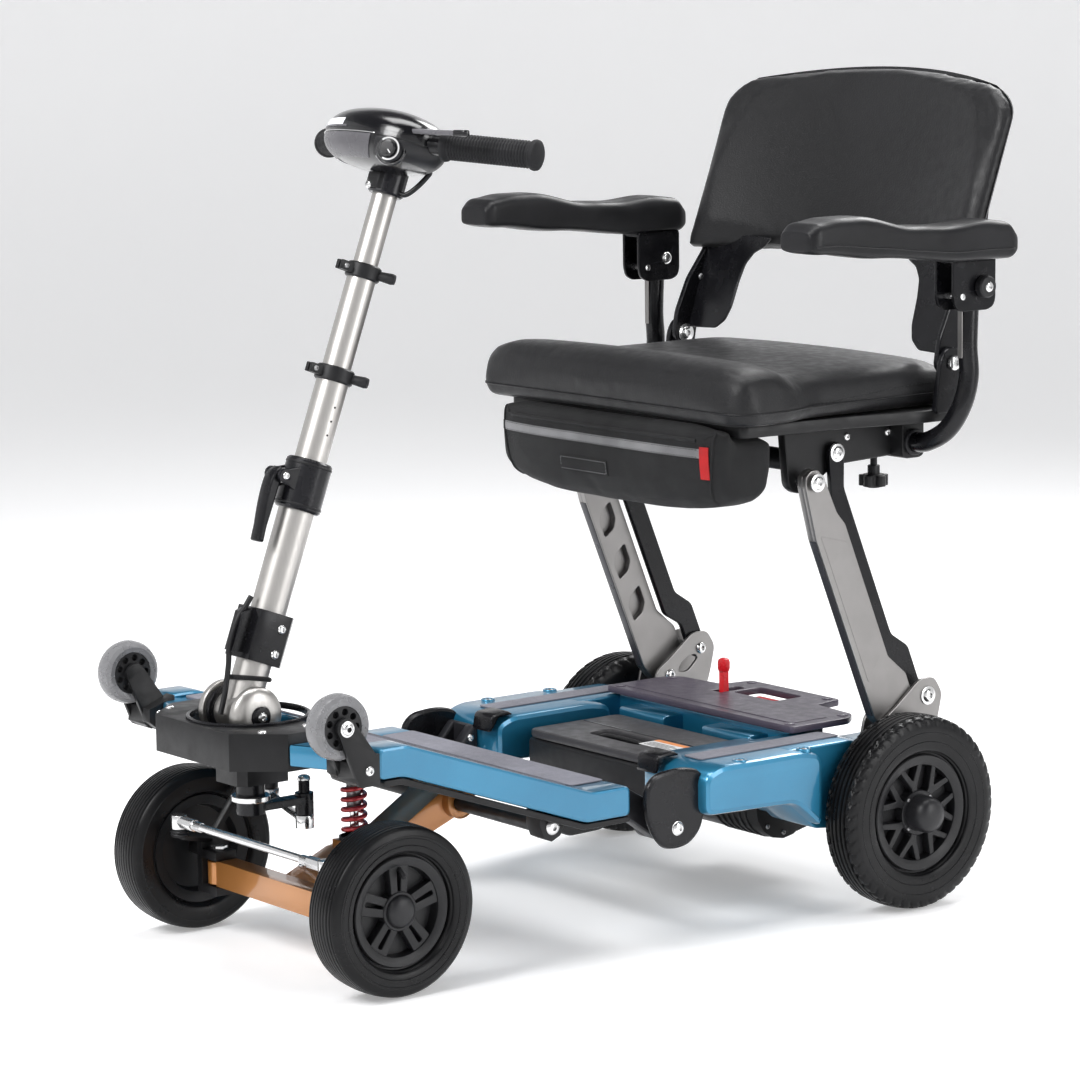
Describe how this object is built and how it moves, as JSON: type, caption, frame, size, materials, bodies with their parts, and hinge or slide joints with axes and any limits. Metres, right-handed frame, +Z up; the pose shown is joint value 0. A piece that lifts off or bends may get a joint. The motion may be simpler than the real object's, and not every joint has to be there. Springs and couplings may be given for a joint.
{
  "type": "mobility scooter",
  "caption": "Folding four-wheel electric mobility scooter with a telescoping tiller, a seat on parallel legs, armrests and a sprung front axle.",
  "frame": {"origin": "the middle of the footprint of the whole scooter, on the floor", "axes": "+Z up, the rider faces -Y, +X to the rider's left"},
  "size_m": [0.624, 0.9832, 0.909],
  "materials": {
    "frame_paint": "satin",
    "black_coat": "satin",
    "orange_coat": "satin",
    "spring_red": "gloss",
    "bare_aluminium": "satin",
    "bright_steel": "satin",
    "black_plastic": "matte",
    "plate_plastic": "satin",
    "console_plastic": "gloss",
    "red_plastic": "gloss",
    "tyre_rubber": "matte",
    "trolley_tread": "satin",
    "grip_rubber": "matte",
    "seat_vinyl": "satin",
    "bag_fabric": "matte"
  },
  "bodies": {
    "rear_frame": {"rear_frame": "frame_paint", "rear_hinge_left": "black_coat", "rear_hinge_right": "black_coat", "rear_plate": "plate_plastic", "seat_bracket_left": "bare_aluminium", "seat_bracket_right": "bare_aluminium", "transaxle": "bare_aluminium"},
    "battery": {"battery": "black_plastic"},
    "freewheel_lever": {"freewheel_lever": "red_plastic"},
    "front_frame": {"front_frame": "frame_paint", "nose_bracket": "black_coat", "trolley_arm_left": "black_coat", "trolley_arm_right": "black_coat", "pivot_tube": "black_coat", "damper_body": "bright_steel", "coil_spring": "spring_red"},
    "suspension_arm": {"suspension_arm": "orange_coat"},
    "damper_rod": {"damper_rod": "bright_steel"},
    "steering_post": {"steering_post": "black_coat"},
    "tie_rod": {"tie_rod": "bright_steel"},
    "drag_link": {"drag_link": "bright_steel"},
    "tiller": {"tiller_base": "bare_aluminium", "tiller_sleeve": "black_plastic", "tube_clamp": "black_plastic"},
    "clamp_lever": {"clamp_lever": "black_plastic"},
    "lower_tube": {"lower_tube": "bare_aluminium"},
    "middle_tube": {"middle_tube": "bare_aluminium"},
    "head": {"top_tube": "bare_aluminium", "console": "console_plastic", "grip_left": "grip_rubber", "grip_right": "grip_rubber"},
    "speed_dial": {"speed_dial": "black_plastic"},
    "throttle_lever": {"throttle_lever": "console_plastic"},
    "seat": {"seat_base": "black_plastic", "seat_cushion": "seat_vinyl", "seat_bag": "bag_fabric"},
    "backrest": {"backrest_shell": "black_plastic", "backrest_pad": "seat_vinyl"},
    "rear_wheel_left": {"rear_tyre_left": "tyre_rubber", "rear_rim_left": "black_plastic"},
    "front_wheel_left": {"front_tyre_left": "tyre_rubber", "front_rim_left": "black_plastic"},
    "trolley_wheel_left": {"trolley_wheel_left": "trolley_tread"},
    "knuckle_left": {"knuckle_left": "black_coat"},
    "seat_leg_left": {"seat_leg_left": "bare_aluminium"},
    "seat_link_left": {"seat_link_left": "black_coat"},
    "armrest_left": {"armrest_tube_left": "black_coat"},
    "armrest_pad_left": {"armrest_pad_left": "grip_rubber"},
    "star_knob_left": {"star_knob_left": "black_plastic"},
    "rear_wheel_right": {"rear_tyre_right": "tyre_rubber", "rear_rim_right": "black_plastic"},
    "front_wheel_right": {"front_tyre_right": "tyre_rubber", "front_rim_right": "black_plastic"},
    "trolley_wheel_right": {"trolley_wheel_right": "trolley_tread"},
    "knuckle_right": {"knuckle_right": "black_coat"},
    "seat_leg_right": {"seat_leg_right": "bare_aluminium"},
    "seat_link_right": {"seat_link_right": "black_coat"},
    "armrest_right": {"armrest_tube_right": "black_coat"},
    "armrest_pad_right": {"armrest_pad_right": "grip_rubber"},
    "star_knob_right": {"star_knob_right": "black_plastic"}
  },
  "joints": [
    {"name": "battery_lift", "type": "slide", "parent": "rear_frame", "child": "battery", "axis": [0, 0, -1], "range_m": [-0.15, 0]},
    {"name": "freewheel", "type": "hinge", "parent": "rear_frame", "child": "freewheel_lever", "pos_m": [-0.052, 0.26335, 0.187], "axis": [1, 0, 0], "range_deg": [0, 30]},
    {"name": "rear_wheel_left", "type": "hinge", "parent": "rear_frame", "child": "rear_wheel_left", "pos_m": [0.2506, 0.27535, 0.1075], "axis": [1, 0, 0], "continuous": true},
    {"name": "rear_wheel_right", "type": "hinge", "parent": "rear_frame", "child": "rear_wheel_right", "pos_m": [-0.2506, 0.27535, 0.1075], "axis": [1, 0, 0], "continuous": true},
    {"name": "chassis_fold", "type": "hinge", "parent": "rear_frame", "child": "front_frame", "pos_m": [0, -0.03165, 0.128], "axis": [1, 0, 0], "range_deg": [0, 120]},
    {"name": "trolley_wheel_left", "type": "hinge", "parent": "front_frame", "child": "trolley_wheel_left", "pos_m": [0.199, -0.44565, 0.288], "axis": [1, 0, 0], "continuous": true},
    {"name": "trolley_wheel_right", "type": "hinge", "parent": "front_frame", "child": "trolley_wheel_right", "pos_m": [-0.199, -0.44565, 0.288], "axis": [1, 0, 0], "continuous": true},
    {"name": "suspension", "type": "hinge", "parent": "front_frame", "child": "suspension_arm", "pos_m": [0, -0.17665, 0.146], "axis": [-1, 0, 0], "range_deg": [0, 6], "stiffness_Nm_per_rad": 265, "springref_deg": -5.73, "deforming": ["coil_spring"]},
    {"name": "damper_slide", "type": "slide", "parent": "front_frame", "child": "damper_rod", "axis": [0, 0, 1], "range_m": [0, 0.0125]},
    {"name": "steering", "type": "hinge", "parent": "front_frame", "child": "steering_post", "pos_m": [0, -0.42165, 0.2], "axis": [0, 0, 1], "range_deg": [-30, 30]},
    {"name": "drag_link", "type": "slide", "parent": "front_frame", "child": "drag_link", "axis": [1, 0, 0], "range_m": [-0.038, 0.038]},
    {"name": "knuckle_left", "type": "hinge", "parent": "suspension_arm", "child": "knuckle_left", "pos_m": [0.134, -0.37665, 0.07], "axis": [0, 0, 1], "range_deg": [-31, 31]},
    {"name": "front_wheel_left", "type": "hinge", "parent": "knuckle_left", "child": "front_wheel_left", "pos_m": [0.188, -0.37665, 0.0892], "axis": [1, 0, 0], "continuous": true},
    {"name": "knuckle_right", "type": "hinge", "parent": "suspension_arm", "child": "knuckle_right", "pos_m": [-0.134, -0.37665, 0.07], "axis": [0, 0, 1], "range_deg": [-31, 31]},
    {"name": "front_wheel_right", "type": "hinge", "parent": "knuckle_right", "child": "front_wheel_right", "pos_m": [-0.188, -0.37665, 0.0892], "axis": [1, 0, 0], "continuous": true},
    {"name": "tie_rod", "type": "slide", "parent": "suspension_arm", "child": "tie_rod", "axis": [1, 0, 0], "range_m": [-0.03, 0.03]},
    {"name": "tiller_fold", "type": "hinge", "parent": "steering_post", "child": "tiller", "pos_m": [0, -0.43215, 0.272], "axis": [1, 0, 0], "range_deg": [-30, 8]},
    {"name": "clamp_lever", "type": "hinge", "parent": "tiller", "child": "clamp_lever", "pos_m": [0, -0.37779, 0.51533], "axis": [-1, 0, 0], "range_deg": [0, 110]},
    {"name": "lower_slide", "type": "slide", "parent": "tiller", "child": "lower_tube", "axis": [0, 0.3491, 0.9371], "range_m": [-0.07, 0]},
    {"name": "middle_slide", "type": "slide", "parent": "lower_tube", "child": "middle_tube", "axis": [0, 0.3491, 0.9371], "range_m": [-0.085, 0]},
    {"name": "top_slide", "type": "slide", "parent": "middle_tube", "child": "head", "axis": [0, 0.3491, 0.9371], "range_m": [-0.055, 0]},
    {"name": "speed_dial", "type": "hinge", "parent": "head", "child": "speed_dial", "pos_m": [0.0495, -0.25625, 0.8449], "axis": [0.5561, -0.8042, 0.2096], "range_deg": [-135, 135]},
    {"name": "throttle", "type": "hinge", "parent": "head", "child": "throttle_lever", "pos_m": [0.062, -0.24465, 0.866], "axis": [0, 0, 1], "range_deg": [0, 10], "stiffness_Nm_per_rad": 1.2, "springref_deg": -11.46},
    {"name": "seat_fold", "type": "hinge", "parent": "rear_frame", "child": "seat_leg_left", "pos_m": [0.2028, 0.28835, 0.1966], "axis": [1, 0, 0], "range_deg": [0, 52]},
    {"name": "seat_leg_right", "type": "hinge", "parent": "rear_frame", "child": "seat_leg_right", "pos_m": [-0.2045, 0.28835, 0.1966], "axis": [1, 0, 0], "range_deg": [-1, 56]},
    {"name": "seat_link_left", "type": "hinge", "parent": "rear_frame", "child": "seat_link_left", "pos_m": [0.191, 0.33515, 0.2233], "axis": [1, 0, 0], "range_deg": [-1, 56]},
    {"name": "seat_link_right", "type": "hinge", "parent": "rear_frame", "child": "seat_link_right", "pos_m": [-0.191, 0.33515, 0.2233], "axis": [1, 0, 0], "range_deg": [-1, 56]},
    {"name": "seat_level", "type": "hinge", "parent": "seat_leg_left", "child": "seat", "pos_m": [0.2045, 0.17475, 0.4762], "axis": [1, 0, 0], "range_deg": [-56, 1]},
    {"name": "backrest", "type": "hinge", "parent": "seat", "child": "backrest", "pos_m": [0, 0.35075, 0.595], "axis": [1, 0, 0], "range_deg": [0, 80]},
    {"name": "armrest_width_left", "type": "slide", "parent": "seat", "child": "armrest_left", "axis": [1, 0, 0], "range_m": [0, 0.03]},
    {"name": "armrest_flip_left", "type": "hinge", "parent": "armrest_left", "child": "armrest_pad_left", "pos_m": [0.271, 0.34835, 0.682], "axis": [1, 0, 0], "range_deg": [-90, 0]},
    {"name": "star_knob_left", "type": "hinge", "parent": "seat", "child": "star_knob_left", "pos_m": [0.139, 0.32335, 0.463], "axis": [0, 0, 1], "continuous": true},
    {"name": "armrest_width_right", "type": "slide", "parent": "seat", "child": "armrest_right", "axis": [-1, 0, 0], "range_m": [0, 0.03]},
    {"name": "armrest_flip_right", "type": "hinge", "parent": "armrest_right", "child": "armrest_pad_right", "pos_m": [-0.271, 0.34835, 0.682], "axis": [1, 0, 0], "range_deg": [-90, 0]},
    {"name": "star_knob_right", "type": "hinge", "parent": "seat", "child": "star_knob_right", "pos_m": [-0.139, 0.32335, 0.463], "axis": [0, 0, 1], "continuous": true}
  ],
  "couplings": [
    {"joint": "damper_slide", "follows": "suspension", "m_per_rad": 0.115},
    {"joint": "drag_link", "follows": "steering", "m_per_rad": -0.067},
    {"joint": "tie_rod", "follows": "steering", "m_per_rad": 0.046},
    {"joint": "knuckle_left", "follows": "steering", "ratio": 1},
    {"joint": "knuckle_right", "follows": "steering", "ratio": 1},
    {"joint": "seat_leg_right", "follows": "seat_fold", "ratio": 1},
    {"joint": "seat_link_left", "follows": "seat_fold", "ratio": 1},
    {"joint": "seat_link_right", "follows": "seat_fold", "ratio": 1},
    {"joint": "seat_level", "follows": "seat_fold", "ratio": -1}
  ]
}
